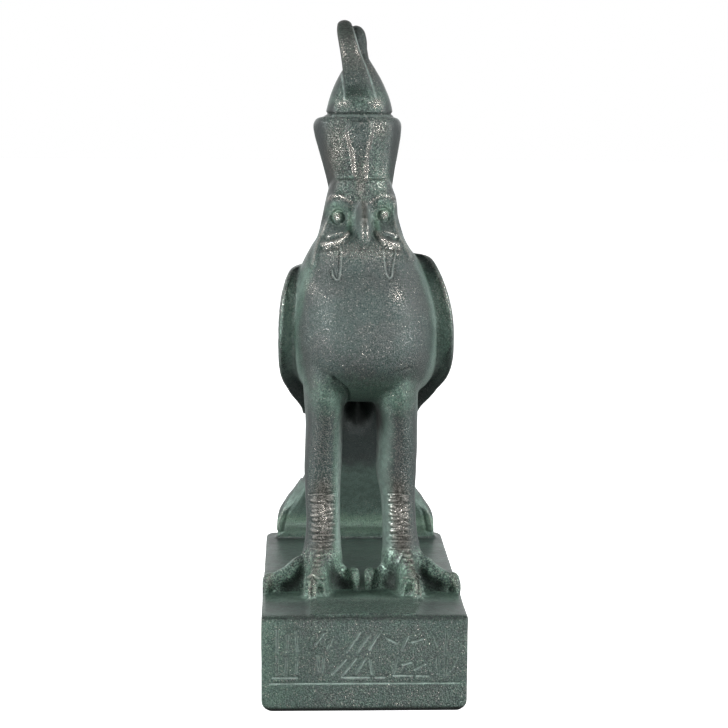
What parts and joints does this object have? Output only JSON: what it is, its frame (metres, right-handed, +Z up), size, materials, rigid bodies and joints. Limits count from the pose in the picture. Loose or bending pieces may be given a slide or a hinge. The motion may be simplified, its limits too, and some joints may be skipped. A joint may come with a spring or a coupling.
{
  "type": "horus falcon figure",
  "caption": "Standing falcon in a double crown, wings folded, tail resting on the long block plinth it is cast with; bronze-look museum replica.",
  "frame": {"origin": "centre of the plinth's flat underside", "axes": "+Z up, +X to the viewer's right, the falcon looks along -Y and its tail rests towards +Y"},
  "size_m": [0.0806, 0.1414, 0.2677],
  "materials": {
    "patinated_bronze": "dark slate-green bronze patina, satin, fine bright metal speckle, paler verdigris in the hollows, rubbed bright on brows, eyes, cheeks, beak, shin plates and claws"
  },
  "bodies": {
    "root": {"horus_falcon_figure": "patinated_bronze"}
  },
  "joints": []
}
